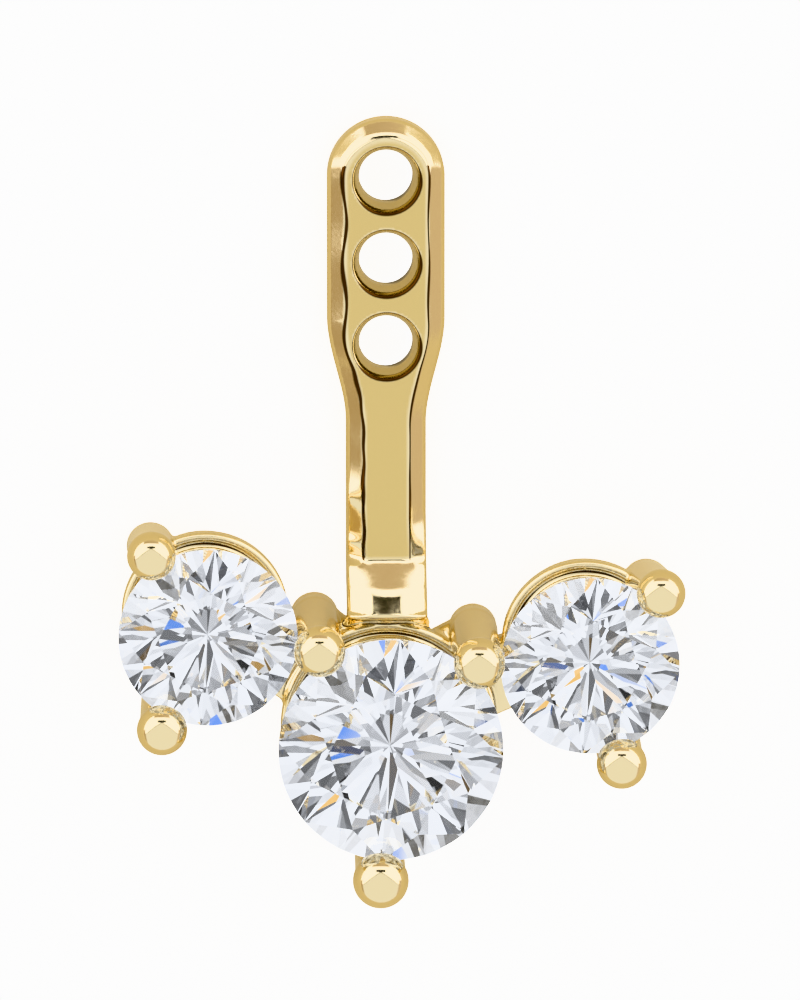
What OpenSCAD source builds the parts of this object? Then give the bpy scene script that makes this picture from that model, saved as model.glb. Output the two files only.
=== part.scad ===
/* [Post plate] */
// Width of the drilled plate
plate_w = 2.1; // [1.8:0.05:2.4]
// Thickness of the plate and the stem
plate_t = 0.75; // [0.6:0.05:0.9]
// Radius of the rounded front edge
edge_r = 0.33; // [0.2:0.01:0.36]
// Radius of the eased back edge
back_edge_r = 0.07; // [0.04:0.01:0.12]

/* [Post holes] */
// Diameter of each hole for the stud's post
hole_d = 0.95; // [0.8:0.05:1.1]
// Distance from one hole to the next
hole_pitch = 1.5; // [1.3:0.05:1.7]
// Countersink of the front rim, on the radius
hole_rim = 0.12; // [0.06:0.01:0.15]
// Depth of that countersink
rim_depth = 0.42; // [0.3:0.02:0.46]

/* [Stem] */
// Width of the stem below the plate
stem_w = 1.43; // [1.1:0.01:1.6]
// Where the plate starts to narrow, below the middle hole
taper_from = 1.05; // [0.9:0.05:1.3]
// Where the stem has its own width, below the middle hole
taper_to = 2.95; // [2.5:0.05:3.5]
// Where the foot starts to bend forward, below the middle hole
bend_from = 5.35; // [5:0.05:5.4]
// Height of the foot's crest above the back
foot_crest_z = 1.5; // [1.35:0.01:1.6]

/* [Cluster] */
// Distance from the middle hole down to the centre stone's axis
cluster_drop = 8.38; // [8.2:0.02:8.6]
// Turn of the cluster against the plate
cluster_roll = -4.7; // [-8:0.1:8]
// Distance from the centre stone's axis to a side stone's
side_distance = 3.845; // [3.8:0.005:4]
// Angle of the side stones from the cluster's own axis
side_angle = 62.3; // [58:0.1:66]
// Height of the girdles above the back
girdle_z = 2.9; // [2.8:0.05:3.1]

/* [Stones] */
// Diameter of the centre stone
centre_stone_d = 4.0; // [3.8:0.05:4.1]
// Diameter of each side stone
side_stone_d = 3.18; // [3:0.02:3.3]
// Width of the table as a share of the diameter
table_share = 0.56; // [0.53:0.01:0.6]
// Slope of the crown's main facets
crown_angle = 34.5; // [33:0.5:36]
// Slope of the pavilion's main facets
pavilion_angle = 40.75; // [40:0.25:41.5]
// Gap all round between a stone and the metal
stone_gap = 0.025; // [0.015:0.005:0.04]

/* [Gallery and prongs] */
// Height of the gallery ring's top above the back
gallery_z = 1.0; // [0.9:0.02:1.1]
// Height of each ring's section
ring_h = 0.38; // [0.3:0.01:0.42]
// Width of each ring's section
ring_w = 0.36; // [0.3:0.01:0.42]
// How far a gallery ring stays inside its stone's girdle
gallery_inset = 0.1; // [0.06:0.01:0.14]
// Height of the prong tips' centres above the girdles
tip_rise = 0.28; // [0.2:0.01:0.35]

/* [Hidden] */
$fn = 48;

// Named columns of the prong tables below: angle and distance of the tip's centre
// and of the root's centre from the stone's axis, and the radius of the bead
TIP_ANGLE = 0;
TIP = 1;
ROOT_ANGLE = 2;
ROOT = 3;
BEAD = 4;
// The two prongs that the left stone has for itself
side_prongs = [
    [127.75, 1.84, 136.2, 1.44, 0.436],
    [247.6, 1.81, 245, 1.34, 0.45]
];
// The left one of the prongs that the centre stone shares with the side stones,
// and its own one below
shared_prong = [129.2, 2.25, 129.2, 2.25, 0.46];
centre_prong = [270, 2.32, 270, 1.76, 0.5];
root_r = 0.43;
shaft_ease = 0.02;
// The plain rings at the back, as a share of their stone's radius
base_share = 0.86;

centre_r = centre_stone_d / 2;
side_r = side_stone_d / 2;
tip_z = girdle_z + tip_rise;
end_r = plate_w / 2;
// How far a shaft starts below the back plane, as a share of its length, and the
// block that trims all roots flush with that plane
overrun_share = 0.06;
trim_size = [20, 30, 2];
// How far a joint between two heads reaches into each of their base rings
joint_overlap = 0.1;

// A round brilliant's corners: distances from the axis, and heights above and below
// the girdle, all as shares of its radius
girdle_share = 0.03;
star_share = 0.5;
lower_share = 0.77;
half_step = 22.5;
quarter_step = 11.25;
star_edge = table_share * cos(half_step);
star_tip = star_edge + star_share * (1 - star_edge);
lower_tip = 1 - lower_share;
crown_rise = (1 - table_share) * tan(crown_angle);
star_tip_rise = (1 - star_tip * cos(half_step)) * tan(crown_angle);
lower_tip_depth = (1 - lower_tip * cos(half_step)) * tan(pavilion_angle);
// How far the girdle facets cut into the girdle between their corners
flat_share = 1 / cos(quarter_step) - 1;
upper_scallop = flat_share * star_tip_rise / (1 - star_tip);
lower_scallop = flat_share * lower_tip_depth / (1 - lower_tip);

// Side view of the foot: distance below the middle hole, front and back height
BELOW = 0;
FRONT = 1;
BACK = 2;
foot_stations = [
    [bend_from, plate_t, 0],
    [bend_from + 0.05, plate_t + 0.03, 0],
    [bend_from + 0.11, plate_t + 0.09, 0],
    [bend_from + 0.49, foot_crest_z - 0.28, 0.1],
    [bend_from + 0.61, foot_crest_z - 0.19, 0.24],
    [bend_from + 0.92, foot_crest_z - 0.01, 0.54],
    [bend_from + 0.97, foot_crest_z, 0.58],
    [bend_from + 1.01, foot_crest_z - 0.08, 0.62],
    [bend_from + 1.05, gallery_z + 0.02, gallery_z - ring_h + 0.08],
    [bend_from + 1.33, gallery_z - 0.11, gallery_z - ring_h + 0.1]
];
flare_from = bend_from + 0.9;
flare_length = 0.42;
flare_w = 0.14;

function smooth(t) = t <= 0 ? 0 : t >= 1 ? 1 : t * t * (3 - 2 * t);

// Half width of the outline at a distance below the middle hole
function half_width(s) =
    (plate_w + (stem_w - plate_w) * smooth((s - taper_from) / (taper_to - taper_from))) / 2
    + (s > flare_from ? flare_w * pow((s - flare_from) / flare_length, 2) : 0);

// Outward normal of the outline there, level along the flare
function side_normal(s, step = 0.01) =
    let (slope = s > flare_from ? 0 : (half_width(s + step) - half_width(s - step)) / (2 * step))
    [1, slope] / norm([1, slope]);

// Rows of the outline's right side from the round end to the foot: point, normal
end_rows = [for (a = [84 : -12 : 0]) [[end_r * cos(a), hole_pitch + end_r * sin(a)], [cos(a), sin(a)]]];
side_stations = concat(
    [0, taper_from / 2],
    [for (i = [0 : 8]) taper_from + (taper_to - taper_from) * i / 8],
    [(taper_to + bend_from) / 2],
    [for (station = foot_stations) station[BELOW]]
);
side_rows = [for (s = side_stations) [[half_width(s), -s], side_normal(s)]];
rows = concat(end_rows, side_rows);

function foot_height(s, column) =
    s <= foot_stations[0][BELOW] ? foot_stations[0][column]
    : s >= foot_stations[len(foot_stations) - 1][BELOW] ? foot_stations[len(foot_stations) - 1][column]
    : lookup(s, [for (station = foot_stations) [station[BELOW], station[column]]]);

// One row's points from the back edge to the front one: which face they belong to,
// and their inset and drop as shares of that edge's radius
edge_steps = 5;
section = concat(
    [[BACK, 1, 0], [BACK, 0, -1]],
    [for (i = [0 : edge_steps]) let (a = 90 * i / edge_steps) [FRONT, 1 - cos(a), 1 - sin(a)]]
);

// The edge radii shrink where the foot gets thin
function edge_radius(s, column) =
    let (thickness = foot_height(s, FRONT) - foot_height(s, BACK))
    column == FRONT ? min(edge_r, 0.6 * thickness) : min(back_edge_r, 0.2 * thickness);

function section_point(row, part, side) =
    let (radius = edge_radius(-row[0][1], part[0]))
    let (p = row[0] - part[1] * radius * row[1])
    [side * p[0], p[1], foot_height(-p[1], part[0]) - part[2] * radius];

// The plate, the stem and the foot as one lofted bar
module post_bar() {
    columns = len(section);
    last = len(rows) - 1;
    points = [for (row = rows) for (side = [1, -1]) for (part = section)
        section_point(row, part, side)];
    // Index of a point: side 0 is the right one and 1 the left one
    function at(row, side, column) = row * 2 * columns + side * columns + column;
    sides = [for (r = [0 : last - 1]) for (c = [0 : columns - 2]) each [
        [at(r, 0, c), at(r + 1, 0, c + 1), at(r, 0, c + 1)],
        [at(r, 0, c), at(r + 1, 0, c), at(r + 1, 0, c + 1)],
        [at(r, 1, c), at(r + 1, 1, c + 1), at(r + 1, 1, c)],
        [at(r, 1, c), at(r, 1, c + 1), at(r + 1, 1, c + 1)]
    ]];
    front = columns - 1;
    faces_between = [for (r = [0 : last - 1]) each [
        [at(r, 0, front), at(r + 1, 0, front), at(r + 1, 1, front), at(r, 1, front)],
        [at(r, 0, 0), at(r, 1, 0), at(r + 1, 1, 0), at(r + 1, 0, 0)]
    ]];
    ends = [for (c = [0 : columns - 2]) each [
        [at(0, 0, c), at(0, 0, c + 1), at(0, 1, c + 1), at(0, 1, c)],
        [at(last, 0, c), at(last, 1, c), at(last, 1, c + 1), at(last, 0, c + 1)]
    ]];
    polyhedron(points, concat(sides, faces_between, ends), convexity = 6);
}

// The space of one hole: a straight bore at the back that opens into a deep
// countersink with an eased rim at the front
module post_hole() {
    reach = 1;
    bore_r = hole_d / 2;
    back_ease = back_edge_r / 2;
    front_ease = 0.05;
    rotate_extrude() polygon([
        [0, -reach], [bore_r + back_ease, -reach], [bore_r + back_ease, 0], [bore_r, back_ease],
        [bore_r, plate_t - rim_depth], [bore_r + hole_rim - front_ease, plate_t - front_ease],
        [bore_r + hole_rim, plate_t], [bore_r + hole_rim, plate_t + reach], [0, plate_t + reach]
    ]);
}

// A gallery ring: a flat band with two raised rims and a groove between them
module gallery_ring(outer_r) {
    ease = 0.07;
    rim_w = 0.12;
    groove = 0.05;
    inner_r = outer_r - ring_w;
    bottom = gallery_z - ring_h;
    rotate_extrude() polygon([
        [inner_r + ease, bottom], [outer_r - ease, bottom], [outer_r, bottom + ease],
        [outer_r, gallery_z - ease], [outer_r - ease, gallery_z],
        [outer_r - rim_w, gallery_z - groove], [inner_r + rim_w, gallery_z - groove],
        [inner_r + ease, gallery_z], [inner_r, gallery_z - ease], [inner_r, bottom + ease]
    ]);
}

// The plain ring that a head stands on
module base_ring(outer_r) {
    ease = 0.08;
    inner_r = outer_r - ring_w;
    rotate_extrude() polygon([
        [inner_r + ease, 0], [outer_r - ease, 0], [outer_r, ease], [outer_r, ring_h - ease],
        [outer_r - ease, ring_h], [inner_r + ease, ring_h], [inner_r, ring_h - ease], [inner_r, ease]
    ]);
}

// Point at a distance and an angle round an axis
function polar(angle, distance) = [distance * cos(angle), distance * sin(angle), 0];

// A tapered round bar from one point to another, with its radius at each end
module tapered_bar(from, to, r1, r2) {
    along = to - from;
    translate(from)
        rotate([0, acos(along[2] / norm(along)), atan2(along[1], along[0])])
            cylinder(r1 = r1, r2 = r2, h = norm(along), $fn = 32);
}

// A prong: a leaning shaft from its root on the back plane to a ball above the girdle
module prong(spec) {
    root = polar(spec[ROOT_ANGLE], spec[ROOT]);
    tip = polar(spec[TIP_ANGLE], spec[TIP]) + [0, 0, tip_z];
    overrun = overrun_share * (root - tip);
    translate(tip) sphere(r = spec[BEAD], $fn = 32);
    tapered_bar(root + overrun, tip, root_r, spec[BEAD] - shaft_ease);
}

// The web that fills the corner between the left shared prong and the foot
module foot_web() {
    start_z = 0.46;
    start_r = 0.4;
    end = [-0.62, 1.47, 0.52];
    end_r = 0.22;
    start = polar(shared_prong[ROOT_ANGLE], shared_prong[ROOT]) + [0, 0, start_z];
    tapered_bar(start, end, start_r, end_r);
}

// The joint between the centre head's rings and those of a head along +X
module ring_joint() {
    start = centre_r * base_share - joint_overlap;
    end = side_distance - side_r * base_share + joint_overlap;
    joint_w = 1.3;
    bottom = 0.07;
    translate([start, -joint_w / 2, bottom]) cube([end - start, joint_w, gallery_z - 2 * bottom]);
}

// A round brilliant of radius r with its girdle's middle on z = 0
module brilliant(r) {
    function corner(share, azimuth, height) =
        [r * share * cos(azimuth), r * share * sin(azimuth), r * height];
    eight = [0 : 7];
    points = concat(
        [for (i = eight) corner(table_share, 45 * i, girdle_share + crown_rise)],
        [for (i = eight) corner(star_tip, 45 * i + half_step, girdle_share + star_tip_rise)],
        [for (j = [0 : 31]) corner(1, quarter_step * j, girdle_share - (j % 2) * upper_scallop)],
        [for (j = [0 : 31]) corner(1, quarter_step * j, (j % 2) * lower_scallop - girdle_share)],
        [for (i = eight) corner(lower_tip, 45 * i + half_step, -girdle_share - lower_tip_depth)],
        [corner(0, 0, -girdle_share - tan(pavilion_angle))]
    );
    function table(i) = i % 8;
    function star(i) = 8 + (i + 8) % 8;
    function above(j) = 16 + j % 32;
    function below(j) = 48 + j % 32;
    function lower(i) = 80 + (i + 8) % 8;
    culet = 88;
    crown = [for (i = eight) each [
        [table(i), table(i + 1), star(i)],
        [table(i), star(i), above(4 * i), star(i - 1)],
        [star(i), above(4 * i + 2), above(4 * i + 1), above(4 * i)],
        [star(i), above(4 * i + 4), above(4 * i + 3), above(4 * i + 2)]
    ]];
    girdle = [for (j = [0 : 31]) [above(j), above(j + 1), below(j + 1), below(j)]];
    pavilion = [for (i = eight) each [
        [culet, lower(i - 1), below(4 * i), lower(i)],
        [lower(i), below(4 * i), below(4 * i + 1), below(4 * i + 2)],
        [lower(i), below(4 * i + 2), below(4 * i + 3), below(4 * i + 4)]
    ]];
    polyhedron(points, concat([[7, 6, 5, 4, 3, 2, 1, 0]], crown, girdle, pavilion));
}

// The round space that a stone of radius r takes in the metal, with its gap
module stone_seat(r) {
    g = stone_gap;
    rim = girdle_share * r + g / 2;
    top = (girdle_share + crown_rise) * r;
    rotate_extrude($fn = 96) polygon([
        [0, -(girdle_share + tan(pavilion_angle)) * r - 2 * g], [r + g, -rim], [r + g, rim],
        [star_tip * r + g, (girdle_share + star_tip_rise) * r + g],
        [table_share * r + g, top + g], [table_share * r, top + 1], [0, top + 1]
    ]);
}

// Children placed in the cluster's own frame, on the back plane
module in_cluster() {
    translate([0, -cluster_drop, 0]) rotate([0, 0, cluster_roll]) children();
}

// Children placed on a side stone's axis: side is 1 for the right one and -1 for the left one
module at_side(side) {
    translate([side * side_distance * sin(side_angle), side_distance * cos(side_angle), 0])
        children();
}

module rings(stone_r) {
    gallery_ring(stone_r - gallery_inset);
    base_ring(stone_r * base_share);
}

// The centre head stands below the foot, with one prong of its own
module centre_head() {
    rings(centre_r);
    prong(centre_prong);
}

// A side head with its joint, its two prongs and the one that it shares
module side_head(side) {
    at_side(side) rings(side_r);
    rotate([0, 0, 90 - side * side_angle]) ring_joint();
    mirror([side > 0 ? 1 : 0, 0, 0]) {
        at_side(-1) for (spec = side_prongs) prong(spec);
        prong(shared_prong);
        foot_web();
    }
}

module jacket_frame() {
    color("goldenrod") difference() {
        union() {
            post_bar();
            in_cluster() {
                centre_head();
                side_head(-1);
                side_head(1);
            }
        }
        for (i = [-1 : 1]) translate([0, i * hole_pitch, 0]) post_hole();
        in_cluster() {
            translate([0, 0, girdle_z]) stone_seat(centre_r);
            for (side = [-1, 1]) at_side(side) translate([0, 0, girdle_z]) stone_seat(side_r);
        }
        translate([0, -cluster_drop / 2, -trim_size[2] / 2]) cube(trim_size, center = true);
    }
}

module centre_stone() {
    color("white") in_cluster() translate([0, 0, girdle_z]) brilliant(centre_r);
}

module left_stone() {
    color("white") in_cluster() at_side(-1) translate([0, 0, girdle_z]) brilliant(side_r);
}

module right_stone() {
    color("white") in_cluster() at_side(1) translate([0, 0, girdle_z]) brilliant(side_r);
}

jacket_frame();
centre_stone();
left_stone();
right_stone();
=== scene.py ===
import math

import bpy
import numpy as np
from mathutils import Matrix, Vector


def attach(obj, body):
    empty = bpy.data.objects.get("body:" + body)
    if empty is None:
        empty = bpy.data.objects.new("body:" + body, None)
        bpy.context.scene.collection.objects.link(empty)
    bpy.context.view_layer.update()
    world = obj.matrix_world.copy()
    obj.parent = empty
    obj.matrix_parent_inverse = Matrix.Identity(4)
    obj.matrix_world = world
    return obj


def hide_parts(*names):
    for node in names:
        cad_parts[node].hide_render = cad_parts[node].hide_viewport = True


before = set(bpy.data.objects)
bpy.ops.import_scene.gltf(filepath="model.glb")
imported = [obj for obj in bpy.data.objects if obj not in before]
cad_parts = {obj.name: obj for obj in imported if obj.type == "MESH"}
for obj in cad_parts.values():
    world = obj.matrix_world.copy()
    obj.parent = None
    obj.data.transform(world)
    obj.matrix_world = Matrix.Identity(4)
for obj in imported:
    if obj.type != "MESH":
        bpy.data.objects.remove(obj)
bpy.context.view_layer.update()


# Jacket frame: post plate, stem, foot, rings and prongs, one casting of 14 karat yellow
# gold. Its joints are soldered, and it is filed and polished by hand, so its parts run
# into each other with small fillets and every edge is soft. Sizes in millimetres.
MM = 0.001
PLATE_W, PLATE_T, STEM_W = 2.1, 0.75, 1.43
HOLE_R, HOLE_PITCH = 0.475, 1.5
TAPER_FROM, TAPER_TO = 1.05, 2.95
BEND_FROM, CREST_Z = 5.35, 1.5
FOOT_END = BEND_FROM + 1.33
GALLERY_Z, RING_H, RING_W = 1.0, 0.38, 0.36

# foot seen from the side: distance below the middle hole, front and back height
FOOT_STATIONS = np.array([
    [-9.0, PLATE_T, 0.0],
    [BEND_FROM, PLATE_T, 0.0],
    [BEND_FROM + 0.05, PLATE_T + 0.03, 0.0],
    [BEND_FROM + 0.11, PLATE_T + 0.09, 0.0],
    [BEND_FROM + 0.49, CREST_Z - 0.28, 0.1],
    [BEND_FROM + 0.61, CREST_Z - 0.19, 0.24],
    [BEND_FROM + 0.92, CREST_Z - 0.01, 0.54],
    [BEND_FROM + 0.97, CREST_Z, 0.58],
    [BEND_FROM + 1.01, CREST_Z - 0.08, 0.62],
    [BEND_FROM + 1.05, GALLERY_Z + 0.02, GALLERY_Z - RING_H + 0.08],
    [FOOT_END, GALLERY_Z - 0.11, GALLERY_Z - RING_H + 0.1],
])
# the corners between the stations are rounded: sample spacing, then spread and reach of
# the rounding in samples
FOOT_STEP, ROUNDING, ROUNDING_REACH = 0.01, 3.2, 9
foot_s = np.arange(4.5, 7.2, FOOT_STEP)
rounding = np.exp(-0.5 * (np.arange(-ROUNDING_REACH, ROUNDING_REACH + 1) / ROUNDING) ** 2)
rounding /= rounding.sum()


def foot_curve(column):
    """The foot's front or back height, smoothed, at every step down the foot."""
    raw = np.interp(foot_s, FOOT_STATIONS[:, 0], FOOT_STATIONS[:, column])
    return np.convolve(np.pad(raw, ROUNDING_REACH, mode="edge"), rounding, mode="valid")


foot_front, foot_back = foot_curve(1), foot_curve(2)
front_slope, back_slope = np.gradient(foot_front, foot_s), np.gradient(foot_back, foot_s)


def soft_min(a, b, k):
    """Union of two distances with a fillet of about k."""
    h = np.clip(k - np.abs(a - b), 0, None) / k
    return np.minimum(a, b) - h * h * k * 0.25


def soft_max(a, b, k):
    """What two distances share, with its edge rounded by about k."""
    return -soft_min(-a, -b, k)


def smooth_step(t):
    """Eased rise from 0 at t = 0 to 1 at t = 1."""
    t = np.clip(t, 0, 1)
    return t * t * (3 - 2 * t)


# the foot widens at its toe, and the file's cut swings in and out by these widths
FLARE, FLARE_FROM, FLARE_OVER = 0.14, BEND_FROM + 0.9, 0.42
SWING_RIGHT, SWING_MORE_LEFT, STEM_SWING = 0.012, 0.026, 0.016


def front_edge(x, y):
    """Distance out from the bar's outline, share of the left side, swing of the file."""
    s = -y
    narrowing = smooth_step((s - TAPER_FROM) / (TAPER_TO - TAPER_FROM))
    flare = FLARE * (np.clip(s - FLARE_FROM, 0, None) / FLARE_OVER) ** 2
    half = (PLATE_W + (STEM_W - PLATE_W) * narrowing) / 2 + flare
    round_end = np.hypot(x, y - HOLE_PITCH) - PLATE_W / 2
    outline = np.where(y > HOLE_PITCH, round_end, np.abs(x) - half)
    # the cut wanders by hand: out round each hole, and in slow waves down the stem
    left = smooth_step(0.5 - x)
    beside_holes = smooth_step((TAPER_FROM + 1.2 - s) / 0.6)
    by_side = SWING_RIGHT + SWING_MORE_LEFT * left
    swing = beside_holes * np.cos(2 * math.pi * y / HOLE_PITCH) * by_side
    on_stem = (1 - beside_holes) * left * STEM_SWING
    return outline, left, swing + on_stem * np.sin(7.3 * s + 0.6) * np.sin(2.9 * s)


# the filed edge: its slope from the flat face and its width on that face, how much less
# wide it is round the plate's end, and the share of it that fades out at the foot's nose
BEVEL, BEVEL_INSET, ROUND_END_INSET, NOSE_FADE = math.radians(43), 0.33, 0.05, 0.85
# two dents in the left edge of the stem: distance below the hole, width and depth
DENTS, DENT_SLOPE = ((4.25, 0.24, 1.0), (5.1, 0.13, 0.8)), 0.15
# changes of slope in radians: by how much, on which side, from where, over what length
SLOPE_CHANGES = ((-0.3, "right", 4.5, 0.8), (-0.28, "left", 5.3, 0.2), (-0.12, "both", 5.3, 0.2))
END_STEEPER = 0.12
# how much the foot's nose is crowned, and how far its face, edges and toe are rounded
NOSE_CROWN, FACE_EASE, EDGE_EASE, TOE_EASE = 0.3, 0.06, 0.07, 0.1


def post_bar(x, y, z):
    """Plate, stem and foot: a flat bar with filed front edges and a stepped foot."""
    s = -y
    outline, left, swing = front_edge(x, y)
    at_end = smooth_step((y - HOLE_PITCH) / 0.5)
    crown = NOSE_CROWN * x * x * smooth_step((s - BEND_FROM - 0.1) / 0.55)
    front = np.interp(s, foot_s, foot_front) - crown
    back = np.interp(s, foot_s, foot_back)
    front_rise, back_rise = np.interp(s, foot_s, front_slope), np.interp(s, foot_s, back_slope)
    above = (z - front) / np.sqrt(1 + front_rise * front_rise)
    below = (back - z) / np.sqrt(1 + back_rise * back_rise)
    # the filed slope: flatter at the dents and the foot, steeper at the round end
    dents = sum(depth * np.exp(-(((s - at) / width) ** 2)) for at, width, depth in DENTS)
    slope = BEVEL - DENT_SLOPE * left * dents
    shares = {"left": left, "right": 1 - left, "both": 1}
    for change, side, start, over in SLOPE_CHANGES:
        slope = slope + change * shares[side] * smooth_step((s - start) / over)
    slope = slope + END_STEEPER * smooth_step((y - HOLE_PITCH) / 0.6)
    thickness = front - back
    inset = np.minimum(BEVEL_INSET - ROUND_END_INSET * at_end - 0.25 * swing, 0.6 * thickness)
    inset = inset * np.sin(slope) * (1 - NOSE_FADE * smooth_step((s - BEND_FROM - 0.86) / 0.1))
    bevel = outline * np.sin(slope) + above * np.cos(slope) + inset
    edge = np.minimum(EDGE_EASE - 0.03 * at_end, 0.3 * thickness)
    body = soft_max(soft_max(above, bevel, FACE_EASE + 0.1 * at_end), outline, edge)
    body = soft_max(body, below, EDGE_EASE)
    return soft_max(body, s - FOOT_END, TOE_EASE)


def post_hole(x, y, z, centre_y):
    """A drilled hole whose front half is countersunk in two steps."""
    radius = HOLE_R + 0.07 * smooth_step((z - 0.28) / 0.42) + 0.06 * smooth_step((z - 0.6) / 0.18)
    return np.hypot(x, y - centre_y) - radius


# rounding of the rings' edges, radius of the groove and its shift in from the rim's middle
RING_EASE, GROOVE_R, GROOVE_IN = 0.08, 0.075, 0.01


def ring(x, y, z, outer_r, top, grooved):
    """A gallery or base ring of rounded section, with or without its groove."""
    rho = np.hypot(x, y)
    half_w, half_h = RING_W / 2, RING_H / 2
    a = np.abs(rho - (outer_r - half_w)) - (half_w - RING_EASE)
    b = np.abs(z - (top - half_h)) - (half_h - RING_EASE)
    d = np.hypot(np.clip(a, 0, None), np.clip(b, 0, None))
    d = d + np.minimum(np.maximum(a, b), 0) - RING_EASE
    if grooved:
        cut = np.hypot(rho - (outer_r - half_w - GROOVE_IN), z - (top + 0.01)) - GROOVE_R
        d = soft_max(d, -cut, 0.03)
    return d


def tapered_bar(x, y, z, start, end, r1, r2):
    """A round bar between two points, with its radius at each."""
    ax, ay, az = start
    bx, by, bz = end[0] - ax, end[1] - ay, end[2] - az
    px, py, pz = x - ax, y - ay, z - az
    t = np.clip((px * bx + py * by + pz * bz) / (bx * bx + by * by + bz * bz), 0, 1)
    off = np.sqrt((px - t * bx) ** 2 + (py - t * by) ** 2 + (pz - t * bz) ** 2)
    return off - (r1 + t * (r2 - r1))


# prongs: angle and distance of the tip and of the root round the stone, bead radius
SIDE_PRONGS = [(127.75, 1.84, 136.2, 1.44, 0.436), (247.6, 1.81, 245.0, 1.34, 0.45)]
SHARED_PRONG = (129.2, 2.25, 129.2, 2.25, 0.46)
CENTRE_PRONG = (270.0, 2.32, 270.0, 1.76, 0.5)
GIRDLE_Z = 2.9
TIP_Z = GIRDLE_Z + 0.28
# radius of every shaft at its root, and how much thinner than its bead it ends
ROOT_R, NECK_IN = 0.43, 0.045


def polar(angle, distance):
    a = math.radians(angle)
    return distance * math.cos(a), distance * math.sin(a)


def prong(x, y, z, spec):
    """A leaning shaft that ends in a round bead."""
    tip_angle, tip, root_angle, root, bead = spec
    tx, ty = polar(tip_angle, tip)
    rx, ry = polar(root_angle, root)
    shaft = tapered_bar(x, y, z, (rx, ry, 0), (tx, ty, TIP_Z), ROOT_R, bead - NECK_IN)
    ball = np.sqrt((x - tx) ** 2 + (y - ty) ** 2 + (z - TIP_Z) ** 2) - bead
    return soft_min(shaft, ball, 0.05)


# the stones' cut, which the seats in the prongs follow
CROWN_ANGLE, PAVILION_ANGLE = math.radians(34.5), math.radians(40.75)
GIRDLE_SHARE, SEAT_GAP, SEAT_EASE = 0.03, 0.025, 0.03


def seat(x, y, z, stone_r):
    """Distance to the round hull of a stone, open above its table."""
    out = np.hypot(x, y) - stone_r
    dz, g = z - GIRDLE_Z, GIRDLE_SHARE * stone_r
    crown = out * math.sin(CROWN_ANGLE) + (dz - g) * math.cos(CROWN_ANGLE)
    pavilion = out * math.sin(PAVILION_ANGLE) + (-dz - g) * math.cos(PAVILION_ANGLE)
    return soft_max(soft_max(crown, pavilion, SEAT_EASE), out, SEAT_EASE)


CLUSTER_DROP, CLUSTER_ROLL = 8.38, math.radians(-4.7)
ROLL_COS, ROLL_SIN = math.cos(CLUSTER_ROLL), math.sin(CLUSTER_ROLL)
SIDE_DISTANCE, SIDE_ANGLE = 3.845, math.radians(62.3)
CENTRE_R, SIDE_R = 2.0, 1.59
# each head's stone, its place in the cluster and its stone's radius
SIDE_X, SIDE_Y = SIDE_DISTANCE * math.sin(SIDE_ANGLE), SIDE_DISTANCE * math.cos(SIDE_ANGLE)
HEADS = (
    ("centre_stone", 0.0, 0.0, CENTRE_R),
    ("left_stone", -SIDE_X, SIDE_Y, SIDE_R),
    ("right_stone", SIDE_X, SIDE_Y, SIDE_R),
)
GALLERY_INSET, BASE_SHARE = 0.1, 0.86
# joint between two heads: middle and half size along, half width, middle and half height
JOINT_AT, JOINT_HALF, JOINT_HALF_W, JOINT_Z, JOINT_HALF_H = 2.1, 0.5, 0.6, 0.5, 0.4
# web from the shared prong to the foot: its two ends and its radius at each
WEB_FROM, WEB_TO = (*polar(*SHARED_PRONG[2:4]), 0.46), (-0.62, 1.47, 0.52)
WEB_R1, WEB_R2 = 0.4, 0.22


def in_cluster(x, y):
    """Places in the cluster's own frame, which is turned against the plate."""
    down = y + CLUSTER_DROP
    return ROLL_COS * x + ROLL_SIN * down, -ROLL_SIN * x + ROLL_COS * down


def head(u, v, z, stone_r):
    """A head's two rings, and the hull of its stone."""
    gallery = ring(u, v, z, stone_r - GALLERY_INSET, GALLERY_Z, True)
    base = ring(u, v, z, stone_r * BASE_SHARE, RING_H, False)
    return np.minimum(gallery, base), seat(u, v, z, stone_r)


def jacket_parts(x, y, z):
    """Signed distances to the bar, the rings, the prongs and the stones' hulls."""
    bar = post_bar(x, y, z)
    u, v = in_cluster(x, y)
    rings, seats = head(u, v, z, CENTRE_R)
    prongs = prong(u, v, z, CENTRE_PRONG)
    for _, ax, ay, stone_r in HEADS[1:]:
        su, sv = u - ax, v - ay
        side_rings, hull = head(su, sv, z, stone_r)
        rings, seats = np.minimum(rings, side_rings), np.minimum(seats, hull)
        cs, sn = ax / SIDE_DISTANCE, ay / SIDE_DISTANCE
        a = np.abs(u * cs + v * sn - JOINT_AT) - JOINT_HALF
        b = np.abs(-u * sn + v * cs) - JOINT_HALF_W
        joint = soft_max(soft_max(a, b, 0.1), np.abs(z - JOINT_Z) - JOINT_HALF_H, 0.1)
        rings = soft_min(rings, joint, 0.12)
        # the right head's prongs and web are the left one's mirrored
        side = math.copysign(1, ax)
        web = tapered_bar(-side * u, v, z, WEB_FROM, WEB_TO, WEB_R1, WEB_R2)
        rings = soft_min(rings, web, 0.1)
        for spec in SIDE_PRONGS:
            prongs = np.minimum(prongs, prong(-side * su, sv, z, spec))
        prongs = np.minimum(prongs, prong(-side * u, v, z, SHARED_PRONG))
    return bar, rings, prongs, seats


# fillets of the solder, and how far the polish has rounded seats, rims and the back
SOLDER, SEAT_ROUND, RIM_ROUND, BACK_ROUND = 0.07, 0.06, 0.05, 0.03


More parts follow.
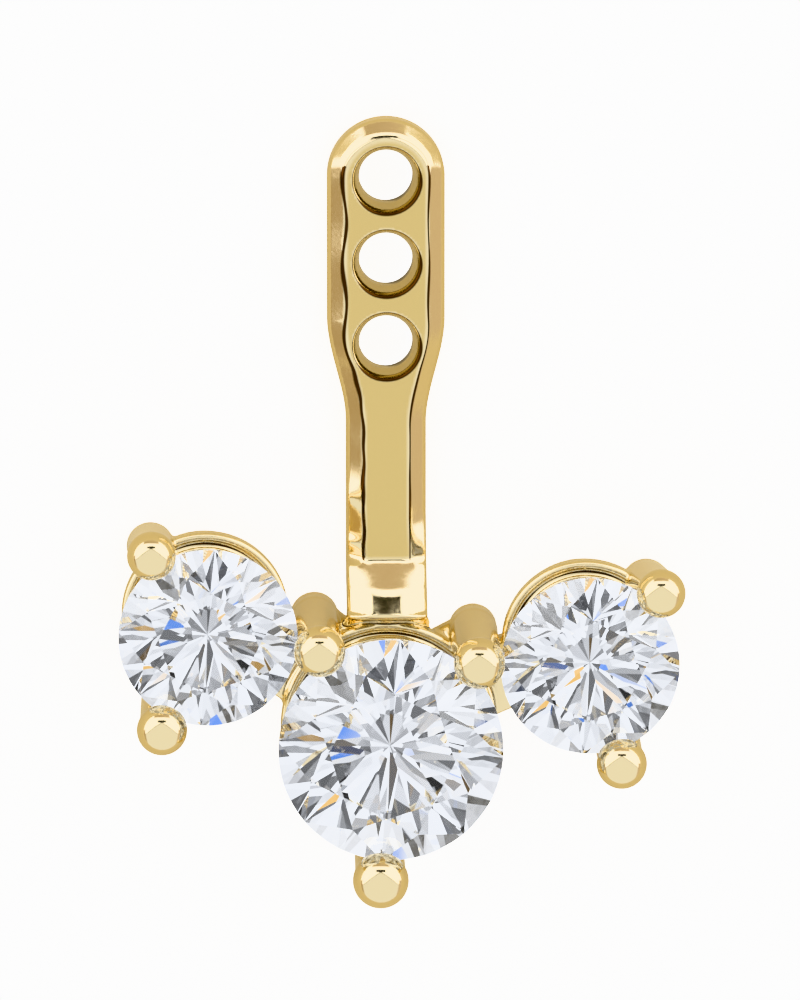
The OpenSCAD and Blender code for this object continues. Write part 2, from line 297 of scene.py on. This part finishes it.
def jacket_distance(x, y, z):
    """Signed distance in millimetres to the surface of the whole casting."""
    bar, rings, prongs, seats = jacket_parts(x, y, z)
    d = soft_min(soft_min(bar, rings, SOLDER), prongs, SOLDER)
    d = soft_max(d, SEAT_GAP - seats, SEAT_ROUND)
    for i in (-1, 0, 1):
        d = soft_max(d, -post_hole(x, y, z, i * HOLE_PITCH), RIM_ROUND)
    return soft_max(d, -z, BACK_ROUND)


SLAB = 24  # grid layers worked out at a time, which keeps the memory small


def surface_net(distance, low, high, step):
    """A closed quad mesh of the surface where the distance is zero."""
    axes = [np.arange(low[i] - 2 * step, high[i] + 2.5 * step, step, dtype=np.float32)
            for i in range(3)]
    shape = tuple(len(a) for a in axes)
    field = np.empty(shape, np.float32)
    for i in range(0, shape[0], SLAB):
        x, y, z = np.meshgrid(axes[0][i : i + SLAB], axes[1], axes[2], indexing="ij")
        field[i : i + SLAB] = distance(x, y, z)
    inside = field < 0
    # the cells that the surface runs through have corners on both sides of it
    count = np.zeros(tuple(n - 1 for n in shape), np.int8)
    for i in (0, 1):
        for j in (0, 1):
            for k in (0, 1):
                count += inside[i : shape[0] - 1 + i, j : shape[1] - 1 + j, k : shape[2] - 1 + k]
    active = (count > 0) & (count < 8)
    cells = np.argwhere(active)
    index = np.full(active.shape, -1, np.int32)
    index[active] = np.arange(len(cells))
    # one vertex a cell, in the middle of the points where its edges cross the surface
    total, hits = np.zeros((len(cells), 3)), np.zeros(len(cells))
    for axis in range(3):
        others = [i for i in range(3) if i != axis]
        for p in (0, 1):
            for q in (0, 1):
                start = [0, 0, 0]
                start[others[0]], start[others[1]] = p, q
                end = list(start)
                end[axis] = 1
                f0 = field[tuple((cells + start).T)]
                f1 = field[tuple((cells + end).T)]
                cross = (f0 < 0) != (f1 < 0)
                point = np.repeat([start], cross.sum(), 0).astype(float)
                point[:, axis] += f0[cross] / (f0[cross] - f1[cross])
                total[cross] += point
                hits[cross] += 1
    verts = np.array([a[0] for a in axes], float) + (cells + total / hits[:, None]) * step
    # one face for each grid edge that crosses the surface, between the four cells round it
    faces = []
    for axis in range(3):
        a, b = [i for i in range(3) if i != axis]
        lo, hi = [slice(None)] * 3, [slice(None)] * 3
        lo[axis], hi[axis] = slice(0, -1), slice(1, None)
        edges = np.argwhere(inside[tuple(lo)] != inside[tuple(hi)])
        edges = edges[(edges[:, a] > 0) & (edges[:, b] > 0)]
        edges = edges[(edges[:, a] < shape[a] - 1) & (edges[:, b] < shape[b] - 1)]
        corners = []
        for p, q in ((1, 1), (0, 1), (0, 0), (1, 0)):
            cell = edges.copy()
            cell[:, a] -= p
            cell[:, b] -= q
            corners.append(index[tuple(cell.T)])
        face = np.stack(corners, 1)
        outward = inside[tuple(edges.T)]
        if axis == 1:
            outward = ~outward
        face[~outward] = face[~outward][:, ::-1]
        faces.append(face)
    return verts, np.concatenate(faces)


def gradient(distance, points, e=0.004):
    """The distance's rate of change along x, y and z at each point."""
    x, y, z = points.T
    return np.stack([
        distance(x + e, y, z) - distance(x - e, y, z),
        distance(x, y + e, z) - distance(x, y - e, z),
        distance(x, y, z + e) - distance(x, y, z - e),
    ], 1) / (2 * e)


def onto_surface(distance, points, rounds=3, longest=0.03):
    """Points moved onto the true surface, with its normals there."""
    for _ in range(rounds):
        g = gradient(distance, points)
        step = distance(*points.T)[:, None] * g / np.clip((g * g).sum(1), 0.2, None)[:, None]
        length = np.linalg.norm(step, axis=1, keepdims=True)
        points = points - step * np.minimum(1, longest / np.maximum(length, 1e-9))
    g = gradient(distance, points)
    return points, g / np.maximum(np.linalg.norm(g, axis=1, keepdims=True), 1e-9)


def add_object(name, data):
    made = bpy.data.objects.new(name, data)
    bpy.context.scene.collection.objects.link(made)
    return made


def as_plain_mesh(piece):
    """The piece's mesh as its modifiers leave it, with the modifiers gone."""
    evaluated = piece.evaluated_get(bpy.context.evaluated_depsgraph_get())
    made, old, name = bpy.data.meshes.new_from_object(evaluated), piece.data, piece.data.name
    piece.modifiers.clear()
    piece.data = made
    bpy.data.meshes.remove(old)
    made.name = name
    return made


GRID = 0.042
JACKET_LOW, JACKET_HIGH = (-4.85, -11.25, -0.02), (5.27, 2.6, 3.75)
TARGET_TRIANGLES = 190000
verts, quads = surface_net(jacket_distance, JACKET_LOW, JACKET_HIGH, GRID)
gold_mesh = bpy.data.meshes.new("jacket_gold")
gold_mesh.from_pydata(verts.tolist(), [], quads.tolist())
jacket = add_object("jacket_gold", gold_mesh)
triangles = 2 * len(quads)
if triangles > TARGET_TRIANGLES:
    thin = jacket.modifiers.new("thin", "DECIMATE")
    thin.ratio = TARGET_TRIANGLES / triangles
    gold_mesh = as_plain_mesh(jacket)
points = np.empty(len(gold_mesh.vertices) * 3)
gold_mesh.vertices.foreach_get("co", points)
points, normals = onto_surface(jacket_distance, points.reshape(-1, 3))
gold_mesh.vertices.foreach_set("co", (points * MM).ravel())
gold_mesh.polygons.foreach_set("use_smooth", [True] * len(gold_mesh.polygons))
gold_mesh.update()
gold_mesh.normals_split_custom_set_from_vertices(normals.tolist())


def mark(name, values):
    """A value at each vertex of the gold, which its material reads."""
    layer = gold_mesh.attributes.new(name, "FLOAT", "POINT")
    layer.data.foreach_set("value", values)


# the flat faces of the plate and the stem are lapped, which leaves them less bright
px, py, pz = points.T
s = -py
on_face = (pz < PLATE_T + 0.03) & (s < BEND_FROM + 0.1)
mark("lapped", smooth_step((np.abs(normals[:, 2]) - 0.93) / 0.06) * on_face)

# Painted dark lines of shade and reflection: each line is its signed distance as a share of its
# half width.
# The first is a painted dark reflection line where the flat face meets the filed edge, thicker down
# the left side.
NO_LINE = 30.0
outline, left, swing = front_edge(px, py)
on_bar = (pz > PLATE_T - 0.45) & (s < BEND_FROM + 0.05)
left_width = 0.034 + 0.012 * np.sin(5.1 * s) * np.sin(1.7 * s + 1)
width = np.where(left > 0.5, left_width, 0.019 + 0.006 * np.sin(3.3 * s))
width = np.where(py > HOLE_PITCH + 0.25, 0.004, width)
corner_in = BEVEL_INSET - ROUND_END_INSET * smooth_step((py - HOLE_PITCH) / 0.5) - 0.03
mark("painted_corner_line", np.where(on_bar, (outline + corner_in - swing) / width, NO_LINE))

# painted shade: dark lines round the rims of the holes, thicker at their lower right, and darker
# towards the back of each bore
nearest = np.clip(np.round(py / HOLE_PITCH), -1, 1) * HOLE_PITCH
rho = np.hypot(px, py - nearest)
below_hole = smooth_step((0.5 * px + 0.87 * (nearest - py) + 0.05) / 0.5)
rim = (rho - (HOLE_R + 0.135)) / (0.008 + 0.03 * below_hole)
in_bore = (rho < HOLE_R + 0.05) & (pz < 0.35)
rim = np.where(in_bore, pz / (0.1 + 0.25 * smooth_step((px + 0.1) / 0.4)), rim)
mark("painted_rim_shade", np.where(in_bore | (on_bar & (pz > PLATE_T - 0.12)), rim, NO_LINE))

# painted shade in the crease where the foot meets the rings under it, and in the grooves of the
# gallery rings
LINE_HALF, LINE_WANDER, LINE_REACH = 0.016, 0.01, 0.06
bar, rings = jacket_parts(px, py, pz)[:2]
near_both = np.maximum(np.abs(bar), np.abs(rings)) < LINE_REACH
at_foot = np.where(near_both, (bar - rings) / LINE_HALF, NO_LINE)
mark("painted_foot_shade", np.clip(at_foot, -NO_LINE, NO_LINE))
u, v = in_cluster(px, py)
grooves = np.full(len(px), NO_LINE)
for _, ax, ay, stone_r in HEADS:
    across = np.hypot(u - ax, v - ay) - (stone_r - GALLERY_INSET - RING_W / 2 - GROOVE_IN)
    in_groove = (np.abs(across) < 0.09) & (np.abs(pz - GALLERY_Z + 0.03) < LINE_REACH)
    wander = LINE_HALF + LINE_WANDER * np.sin(5 * np.arctan2(v - ay, u - ax))
    grooves = np.where(in_groove, across / wander, grooves)
mark("painted_groove_shade", np.clip(grooves, -NO_LINE, NO_LINE))


def linear(code):
    """Linear colour of an sRGB hex code."""
    parts = [int(code[i : i + 2], 16) / 255 for i in (1, 3, 5)]
    parts = [c / 12.92 if c <= 0.04045 else ((c + 0.055) / 1.055) ** 2.4 for c in parts]
    return (*parts, 1.0)


def add_node(tree, kind, inputs=None, **settings):
    """A node with its settings; an input given as a socket is linked."""
    node = tree.nodes.new(kind)
    for name, value in settings.items():
        setattr(node, name, value)
    for key, value in (inputs or {}).items():
        if isinstance(value, bpy.types.NodeSocket):
            tree.links.new(value, node.inputs[key])
        else:
            node.inputs[key].default_value = value
    return node


def new_material(name):
    material = bpy.data.materials.new(name)
    material.use_nodes = True
    material.node_tree.nodes.clear()
    return material, material.node_tree


# 14 karat yellow gold, cast and polished with rouge: a bright warm mirror. The wheel's
# grain is far finer than the 0.07 mm drawn here, which is as coarse as it needs to show.
# The slow waves of hand work are 1.1 mm long. Lapped faces are duller and deeper in tone.
GRAIN_PER_M, WAVES_PER_M = 14000.0, 900.0
GRAIN_DEPTH, WAVE_DEPTH = 0.000004, 0.00001
A_COLOUR, B_COLOUR, COLOUR_OUT = 6, 7, 2  # the mix node's sockets for colours
gold, tree = new_material("polished_14k_yellow_gold")
place = add_node(tree, "ShaderNodeTexCoord").outputs["Object"]
grain = add_node(tree, "ShaderNodeTexNoise", {
    "Vector": place, "Scale": GRAIN_PER_M, "Detail": 3.0}).outputs["Fac"]
waves = add_node(tree, "ShaderNodeTexNoise", {
    "Vector": place, "Scale": WAVES_PER_M, "Detail": 1.0}).outputs["Fac"]
bump = add_node(tree, "ShaderNodeBump", {
    "Height": grain, "Strength": 0.12, "Distance": GRAIN_DEPTH})
swell = add_node(tree, "ShaderNodeBump", {
    "Height": waves, "Normal": bump.outputs["Normal"], "Strength": 0.35,
    "Distance": WAVE_DEPTH})
lapped = add_node(tree, "ShaderNodeAttribute", attribute_name="lapped").outputs["Fac"]
polished = add_node(tree, "ShaderNodeMapRange", {"Value": grain, "To Min": 0.06, "To Max": 0.13})
rough = add_node(tree, "ShaderNodeMix", {
    0: lapped, 2: polished.outputs["Result"], 3: 0.24}, data_type="FLOAT")
tone = add_node(tree, "ShaderNodeMix", {
    0: lapped, A_COLOUR: linear("#F0DFB4"), B_COLOUR: linear("#DAC285")}, data_type="RGBA")
# the nearest of the painted shade lines counts
off_line = None
for name in ("painted_corner_line", "painted_rim_shade", "painted_foot_shade", "painted_groove_shade"):
    line = add_node(tree, "ShaderNodeAttribute", attribute_name=name).outputs["Fac"]
    off = add_node(tree, "ShaderNodeMath", {0: line}, operation="ABSOLUTE").outputs[0]
    if off_line is not None:
        off = add_node(tree, "ShaderNodeMath", {0: off_line, 1: off},
                       operation="MINIMUM").outputs[0]
    off_line = off
# the lines turn the gold dark brown: painted shade and painted dark reflection
painted_shade_amount = add_node(tree, "ShaderNodeMapRange", {"Value": off_line, "From Min": 1.25, "From Max": 0.6})
with_painted_shade = add_node(tree, "ShaderNodeMix", {
    0: painted_shade_amount.outputs["Result"], A_COLOUR: tone.outputs[COLOUR_OUT],
    B_COLOUR: linear("#3B2410")}, data_type="RGBA")
shader = add_node(tree, "ShaderNodeBsdfPrincipled", {
    "Base Color": with_painted_shade.outputs[COLOUR_OUT], "Metallic": 1.0,
    "Roughness": rough.outputs[0], "Normal": swell.outputs["Normal"]})
add_node(tree, "ShaderNodeOutputMaterial", {"Surface": shader.outputs["BSDF"]})
gold_mesh.materials.append(gold)
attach(jacket, "root")
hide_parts("jacket_frame")


# Stones: three colourless round brilliants, cut from rough and polished facet by
# facet, with a bruted girdle. The beads hold them; they stand free of the gold.
TABLE_SHARE, STAR_SHARE, LOWER_SHARE, CULET_SHARE = 0.56, 0.5, 0.77, 0.004
GIRDLE_CORNERS = 96


def brilliant_tree():
    """Geometry Nodes: the hull of a round brilliant's corners, radius 1."""
    g = bpy.data.node_groups.new("round_brilliant", "GeometryNodeTree")
    for name, kind in (("Radius", "Float"), ("Place", "Vector"), ("Turn", "Float"),
                       ("Finish", "Material")):
        g.interface.new_socket(name, in_out="INPUT", socket_type="NodeSocket" + kind)
    g.interface.new_socket("Geometry", in_out="OUTPUT", socket_type="NodeSocketGeometry")
    given = add_node(g, "NodeGroupInput")
    # a main facet spans 45 degrees, a girdle facet half of that
    half, quarter = math.radians(22.5), math.radians(11.25)
    tan_crown, tan_pavilion = math.tan(CROWN_ANGLE), math.tan(PAVILION_ANGLE)
    star_edge = TABLE_SHARE * math.cos(half)
    star_tip = star_edge + STAR_SHARE * (1 - star_edge)
    lower_tip = 1 - LOWER_SHARE
    star_rise = (1 - star_tip * math.cos(half)) * tan_crown
    lower_depth = (1 - lower_tip * math.cos(half)) * tan_pavilion
    join = add_node(g, "GeometryNodeJoinGeometry")
    # corners of the table, star facets, lower girdle facets and culet
    for count, radius, height, turn in (
        (8, TABLE_SHARE, GIRDLE_SHARE + (1 - TABLE_SHARE) * tan_crown, 0),
        (8, star_tip, GIRDLE_SHARE + star_rise, half),
        (8, lower_tip, -GIRDLE_SHARE - lower_depth, half),
        (3, CULET_SHARE, -GIRDLE_SHARE - tan_pavilion, 0),
    ):
        corners = add_node(g, "GeometryNodeMeshCircle", {"Vertices": count, "Radius": radius})
        moved = add_node(g, "GeometryNodeTransform", {
            "Geometry": corners.outputs["Mesh"], "Translation": (0, 0, height),
            "Rotation": (0, 0, turn)})
        g.links.new(moved.outputs["Geometry"], join.inputs["Geometry"])
    # the girdle's two edges: each dips under its girdle facets, which stay flat
    for sign, rise, tip in ((1.0, star_rise, star_tip), (-1.0, lower_depth, lower_tip)):
        slope = rise / (math.cos(quarter) * (1 - tip))
        edge = add_node(g, "GeometryNodeMeshCircle", {"Vertices": GIRDLE_CORNERS, "Radius": 1.0})
        where = add_node(g, "GeometryNodeInputPosition")
        split = add_node(g, "ShaderNodeSeparateXYZ", {"Vector": where.outputs["Position"]})
        value = split.outputs["Y"]
        for operation, inputs in (
            ("ARCTAN2", {1: split.outputs["X"]}),
            ("FLOORED_MODULO", {1: half}),
            ("SUBTRACT", {1: quarter}),
            ("COSINE", {}),
            ("MULTIPLY_ADD", {1: -1.0, 2: math.cos(quarter)}),
            ("MULTIPLY_ADD", {1: slope, 2: GIRDLE_SHARE}),
            ("MULTIPLY", {1: sign}),
        ):
            value = add_node(
                g, "ShaderNodeMath", {0: value, **inputs}, operation=operation).outputs[0]
        offset = add_node(g, "ShaderNodeCombineXYZ", {"Z": value})
        moved = add_node(g, "GeometryNodeSetPosition", {
            "Geometry": edge.outputs["Mesh"], "Offset": offset.outputs["Vector"]})
        g.links.new(moved.outputs["Geometry"], join.inputs["Geometry"])
    hull = add_node(g, "GeometryNodeConvexHull", {"Geometry": join.outputs["Geometry"]})
    turn = add_node(g, "ShaderNodeCombineXYZ", {"Z": given.outputs["Turn"]})
    placed = add_node(g, "GeometryNodeTransform", {
        "Geometry": hull.outputs["Convex Hull"], "Translation": given.outputs["Place"],
        "Rotation": turn.outputs["Vector"], "Scale": given.outputs["Radius"]})
    real = add_node(g, "GeometryNodeRealizeInstances", {"Geometry": placed.outputs["Geometry"]})
    finish = add_node(g, "GeometryNodeSetMaterial", {
        "Geometry": real.outputs["Geometry"], "Material": given.outputs["Finish"]})
    add_node(g, "NodeGroupOutput", {"Geometry": finish.outputs["Geometry"]})
    return g


# Colourless diamond with polished facets: clear, very bright, hard-edged flashes. The
# tint holds back the surface's own reflection, as the photograph's soft light did.
stone_finish, tree = new_material("polished_colourless_diamond")
shader = add_node(tree, "ShaderNodeBsdfPrincipled", {
    "Base Color": linear("#FDFDFF"), "Roughness": 0.0, "IOR": 2.42,
    "Transmission Weight": 1.0, "Specular Tint": linear("#AAAAAA")})
add_node(tree, "ShaderNodeOutputMaterial", {"Surface": shader.outputs["BSDF"]})

cut = brilliant_tree()
sockets = {s.name: s.identifier for s in cut.interface.items_tree if s.in_out == "INPUT"}
for node_name, ax, ay, stone_r in HEADS:
    across = ROLL_COS * ax - ROLL_SIN * ay
    down = ROLL_SIN * ax + ROLL_COS * ay - CLUSTER_DROP
    piece = add_object(node_name + "_brilliant", bpy.data.meshes.new(node_name + "_cut"))
    maker = piece.modifiers.new("cut", "NODES")
    maker.node_group = cut
    maker[sockets["Radius"]] = stone_r * MM
    maker[sockets["Place"]] = (across * MM, down * MM, GIRDLE_Z * MM)
    maker[sockets["Turn"]] = CLUSTER_ROLL
    maker[sockets["Finish"]] = stone_finish
    as_plain_mesh(piece)
    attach(piece, "root")
    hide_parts(node_name)


# Floor: a plain sheet of white card that the jacket lies on, just under its flat back.
# It is pressed smooth and cut much larger than the view, in metres.
CARD_HALF, CARD_Z = 0.6, -0.00001
card = bpy.data.meshes.new("floor_card")
card.from_pydata(
    [(x * CARD_HALF, y * CARD_HALF, CARD_Z) for x, y in ((-1, -1), (1, -1), (1, 1), (-1, 1))],
    [], [(0, 1, 2, 3)])
floor = add_object("floor_card", card)

# White card, pressed matt: even and without shine, and lit up to plain white where the
# camera sees it. In the gold's reflections it is a painted shaded copy, dim and warm with
# its own glow, standing for its shaded part close by and the warm light the gold throws on
# it; the stones gather a plain neutral grey glow from it.
white, tree = new_material("pressed_white_card")
seen = add_node(tree, "ShaderNodeBsdfPrincipled", {
    "Base Color": linear("#FAFAFA"), "Roughness": 0.9, "Specular IOR Level": 0.1,
    "Emission Color": linear("#FFFFFF"), "Emission Strength": 2.4})
painted_shaded_card = add_node(tree, "ShaderNodeBsdfPrincipled", {
    "Base Color": linear("#8A8068"), "Roughness": 0.9, "Specular IOR Level": 0.1,
    "Emission Color": linear("#AA9C7C"), "Emission Strength": 1.0})
through = add_node(tree, "ShaderNodeEmission", {"Color": linear("#BFC4CB"), "Strength": 1.0})
ray = add_node(tree, "ShaderNodeLightPath")
mix = add_node(tree, "ShaderNodeMixShader", {
    0: ray.outputs["Is Transmission Ray"], 1: painted_shaded_card.outputs[0], 2: through.outputs[0]})
mix = add_node(tree, "ShaderNodeMixShader", {
    0: ray.outputs["Is Camera Ray"], 1: mix.outputs[0], 2: seen.outputs[0]})
add_node(tree, "ShaderNodeOutputMaterial", {"Surface": mix.outputs[0]})
card.materials.append(white)


# Camera: the photograph's angle, 11.5 degrees above the front's normal and 2 to the
# left of it, with a long lens. The jacket lies on its back, so it looks down.
TILT, TURN = math.radians(11.5), math.radians(2.0)
DISTANCE, VIEW_HEIGHT, SENSOR_MM = 0.32, 0.0178, 24.0
AIM_MM = (0.22, -4.2, 1.2)
toward = Vector((
    -math.sin(TURN) * math.cos(TILT), math.sin(TILT), math.cos(TURN) * math.cos(TILT)))
right = Vector((math.cos(TURN), 0, math.sin(TURN)))
up = toward.cross(right)
camera_data = bpy.data.cameras.new("camera")
camera = add_object("camera", camera_data)
place = Matrix((right, up, toward)).transposed().to_4x4()
place.translation = Vector(AIM_MM) * MM + toward * DISTANCE
camera.matrix_world = place
camera_data.sensor_fit = "VERTICAL"
camera_data.sensor_height = SENSOR_MM
camera_data.lens = SENSOR_MM * DISTANCE / VIEW_HEIGHT
camera_data.clip_start, camera_data.clip_end = 0.01, 10.0
bpy.context.scene.camera = camera


# Light: a white tent of cloth panels, lit from outside. Its lower part is even and mid
# bright, two brighter panels form an arch above the jacket, with a thin dark seam under
# them and a dark slot at their join. Colours here are linear levels of light.
EVEN_PANELS, BRIGHT_PANELS = (1.04, 1.05, 1.05, 1), (3.8, 3.8, 3.8, 1)
ROOM_LEFT, ROOM_RIGHT = (0.54, 0.42, 0.28, 1), (0.74, 0.61, 0.47, 1)
world = bpy.data.worlds.new("light_tent")
bpy.context.scene.world = world
world.use_nodes = True
tree = world.node_tree
tree.nodes.clear()

# u and v say where on the tent a ray ends: how far a mirror that faces the jacket's
# front leans right and up, as a tangent, to send it there
towards = add_node(tree, "ShaderNodeTexCoord").outputs["Generated"]
along = [
    add_node(tree, "ShaderNodeVectorMath", {0: towards, 1: tuple(axis)},
             operation="DOT_PRODUCT").outputs["Value"]
    for axis in (right, up, toward)]
depth = add_node(tree, "ShaderNodeMath", {0: along[2], 1: 1.0}, operation="ADD")
depth = add_node(tree, "ShaderNodeMath", {0: depth.outputs[0], 1: 0.02}, operation="MAXIMUM")
u, v = [
    add_node(tree, "ShaderNodeMath", {0: part, 1: depth.outputs[0]}, operation="DIVIDE").outputs[0]
    for part in along[:2]]
side = add_node(tree, "ShaderNodeMath", {0: u}, operation="ABSOLUTE").outputs[0]
spot = add_node(tree, "ShaderNodeCombineXYZ", {"X": u, "Y": v})
reach = add_node(tree, "ShaderNodeVectorMath", {0: spot.outputs[0]},
                 operation="LENGTH").outputs["Value"]
# height above the seam, which falls away to both sides from its crown and flattens
fall = add_node(tree, "ShaderNodeMapRange", {
    "Value": side, "From Min": 0.0, "From Max": 0.7, "To Min": 0.33, "To Max": -0.13})
rest = add_node(tree, "ShaderNodeMapRange", {
    "Value": side, "From Min": 0.7, "From Max": 1.7, "To Min": 0.0, "To Max": -0.35})
seam = add_node(tree, "ShaderNodeMath", {0: fall.outputs[0], 1: rest.outputs[0]}, operation="ADD")
over = add_node(tree, "ShaderNodeMath", {0: v, 1: seam.outputs[0]}, operation="SUBTRACT").outputs[0]

# bands of the tent: what is measured, where the band has nothing yet, and where all
bands = {}
for name, value, none_at, all_at in (
    ("above_seam", over, 0.0, 0.04),
    ("within_reach", reach, 1.75, 1.6),
    ("below_top", v, 1.0, 0.92),
    ("beside_arm", side, 0.37, 0.43),
    ("below_arm", v, 0.6, 0.56),
    ("within_sides", side, 0.88, 0.82),
    ("above_middle", v, 0.0, 0.06),
    ("past_sides", side, 0.8, 0.88),
    ("to_the_right", u, -0.9, 0.5),
    ("past_seam", side, 0.72, 0.8),
):
    bands[name] = add_node(tree, "ShaderNodeMapRange", {
        "Value": value, "From Min": none_at, "From Max": all_at}).outputs[0]
# the bright arch above the seam, open at its top where the camera's arm comes in
for name, one, other in (
    ("clear_of_arm", "beside_arm", "below_arm"),
    ("in_arch_sides", "within_sides", "above_middle"),
    ("room", "above_seam", "past_sides"),
):
    bands[name] = add_node(tree, "ShaderNodeMath", {
        0: bands[one], 1: bands[other]}, operation="MAXIMUM").outputs[0]
arch = bands["above_seam"]
for name in ("within_reach", "below_top", "clear_of_arm", "in_arch_sides"):
    arch = add_node(tree, "ShaderNodeMath", {0: arch, 1: bands[name]},
                    operation="MULTIPLY").outputs[0]
# the room beyond is warm, and darker on the left
lights = add_node(tree, "ShaderNodeMix", {
    0: bands["to_the_right"], A_COLOUR: ROOM_LEFT, B_COLOUR: ROOM_RIGHT}, data_type="RGBA")
lights = add_node(tree, "ShaderNodeMix", {
    0: bands["room"], A_COLOUR: EVEN_PANELS, B_COLOUR: lights.outputs[COLOUR_OUT]},
    data_type="RGBA")
lights = add_node(tree, "ShaderNodeMix", {
    0: arch, A_COLOUR: lights.outputs[COLOUR_OUT], B_COLOUR: BRIGHT_PANELS}, data_type="RGBA")
# the seam's dark line, and the dark slot at its crown
SLOT_V, SLOT_HALF_V, SLOT_HALF_U = 0.38, 0.065, 0.2
off = add_node(tree, "ShaderNodeMath", {0: over}, operation="ABSOLUTE")
dark = add_node(tree, "ShaderNodeMapRange", {
    "Value": off.outputs[0], "From Min": 0.012, "From Max": 0.035, "To Min": 0.45, "To Max": 1.0})
dark = add_node(tree, "ShaderNodeMath", {
    0: dark.outputs[0], 1: bands["past_seam"]}, operation="MAXIMUM")
slot_v = v
for operation, inputs in (
    ("SUBTRACT", {1: SLOT_V}), ("ABSOLUTE", {}), ("DIVIDE", {1: SLOT_HALF_V})
):
    slot_v = add_node(
        tree, "ShaderNodeMath", {0: slot_v, **inputs}, operation=operation).outputs[0]
slot_u = add_node(tree, "ShaderNodeMath", {0: side, 1: SLOT_HALF_U}, operation="DIVIDE")
slot = add_node(tree, "ShaderNodeMath", {0: slot_u.outputs[0], 1: slot_v}, operation="MAXIMUM")
slot = add_node(tree, "ShaderNodeMapRange", {
    "Value": slot.outputs[0], "From Min": 0.85, "From Max": 1.1, "To Min": 0.02, "To Max": 1.0})
level = add_node(tree, "ShaderNodeMath", {
    0: dark.outputs[0], 1: slot.outputs[0]}, operation="MULTIPLY")
lit = add_node(tree, "ShaderNodeBackground", {
    "Color": lights.outputs[COLOUR_OUT], "Strength": level.outputs[0]})

# what the stones gather: the tent's panels with the dark gaps between them, and a few
# small coloured panes that give the facets their fire
patches = add_node(tree, "ShaderNodeTexNoise", {"Vector": towards, "Scale": 9.0, "Detail": 2.0})
facets = add_node(tree, "ShaderNodeMapRange", {
    "Value": patches.outputs["Fac"], "From Min": 0.405, "From Max": 0.61,
    "To Min": 0.13, "To Max": 1.75})
panes = add_node(tree, "ShaderNodeTexNoise", {"Vector": towards, "Scale": 12.0, "Detail": 0.0})
fire = (0.93, 0.965, 1.02, 1)
for none_at, all_at, colour in (
    (0.78, 0.79, (0.1, 0.32, 1.0, 1)),
    (0.22, 0.205, (1.0, 0.6, 0.15, 1)),
):
    pane = add_node(tree, "ShaderNodeMapRange", {
        "Value": panes.outputs["Fac"], "From Min": none_at, "From Max": all_at})
    fire = add_node(tree, "ShaderNodeMix", {
        0: pane.outputs[0], A_COLOUR: fire, B_COLOUR: colour},
        data_type="RGBA").outputs[COLOUR_OUT]
gathered = add_node(tree, "ShaderNodeBackground", {"Color": fire, "Strength": facets.outputs[0]})
plain = add_node(tree, "ShaderNodeBackground", {"Color": (1, 1, 1, 1), "Strength": 3.2})
ray = add_node(tree, "ShaderNodeLightPath")
mix = add_node(tree, "ShaderNodeMixShader", {
    0: ray.outputs["Is Transmission Ray"], 1: lit.outputs[0], 2: gathered.outputs[0]})
mix = add_node(tree, "ShaderNodeMixShader", {
    0: ray.outputs["Is Camera Ray"], 1: mix.outputs[0], 2: plain.outputs[0]})
add_node(tree, "ShaderNodeOutputWorld", {"Surface": mix.outputs[0]})

# light takes many turns inside a stone before it comes out again
scene = bpy.context.scene
scene.view_settings.view_transform = "Khronos PBR Neutral"
scene.cycles.max_bounces = 24
scene.cycles.transmission_bounces = 20
scene.cycles.glossy_bounces = 8
